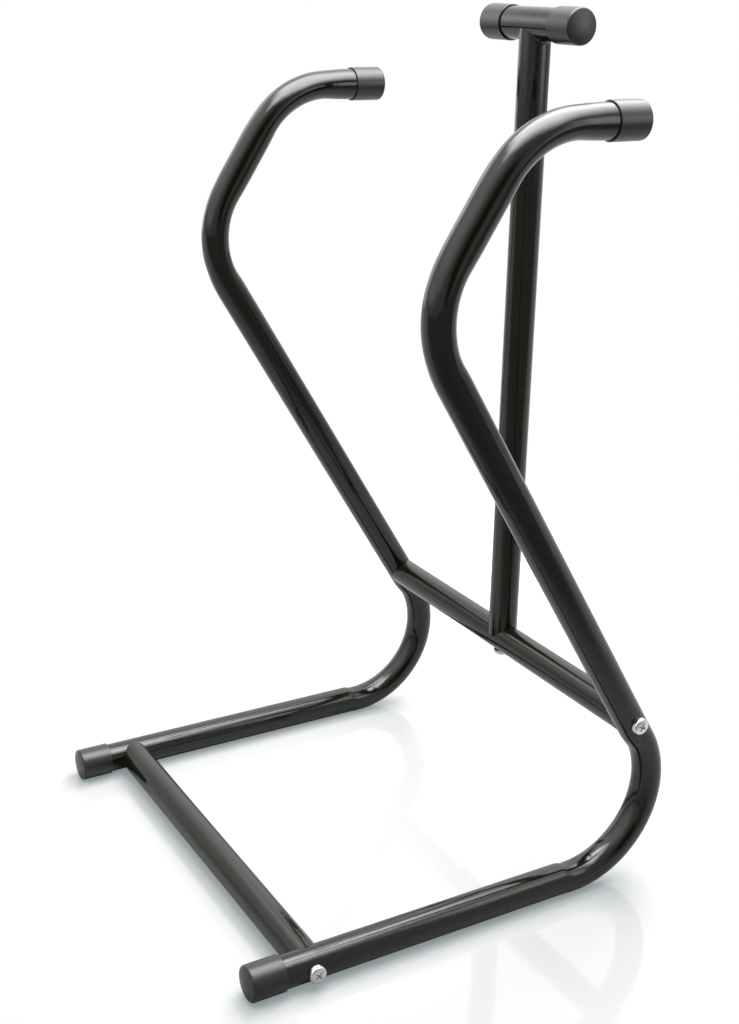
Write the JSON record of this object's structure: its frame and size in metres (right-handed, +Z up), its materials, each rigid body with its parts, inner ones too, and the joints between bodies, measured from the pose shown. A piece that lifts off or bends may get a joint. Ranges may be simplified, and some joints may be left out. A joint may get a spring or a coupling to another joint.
{
  "type": "boot rack",
  "caption": "Free-standing boot rack: bent steel tube frames with rearward hooks, joined by crossbars, with a T-shaped carrying handle on a centre post.",
  "frame": {"origin": "on the floor, in the middle of the rack's width and depth", "axes": "+X runs from the left side frame to the right one, +Y from the capped floor ends to the rear bends, which is also the way the hooks point, and +Z is up"},
  "size_m": [0.3376, 0.3285, 0.5921],
  "materials": {
    "frame_paint": "gloss black powder coat",
    "cap_plastic": "satin dark grey plastic",
    "zinc_plate": "bright zinc plate",
    "insert_steel": "plain turned steel"
  },
  "bodies": {
    "root": {"right_side_frame": "frame_paint", "left_side_frame": "frame_paint", "floor_crossbar": "frame_paint", "rear_crossbar": "frame_paint", "centre_post": "frame_paint", "handle_tube": "frame_paint", "handle_weld": "frame_paint", "right_floor_cap": "cap_plastic", "right_hook_cap": "cap_plastic", "right_handle_cap": "cap_plastic", "left_floor_cap": "cap_plastic", "left_hook_cap": "cap_plastic", "left_handle_cap": "cap_plastic", "right_floor_screw": "zinc_plate", "right_rear_screw": "zinc_plate", "left_floor_screw": "zinc_plate", "left_rear_screw": "zinc_plate", "post_screw": "zinc_plate", "right_floor_insert": "insert_steel", "right_rear_insert": "insert_steel", "left_floor_insert": "insert_steel", "left_rear_insert": "insert_steel", "post_insert": "insert_steel"}
  },
  "joints": []
}
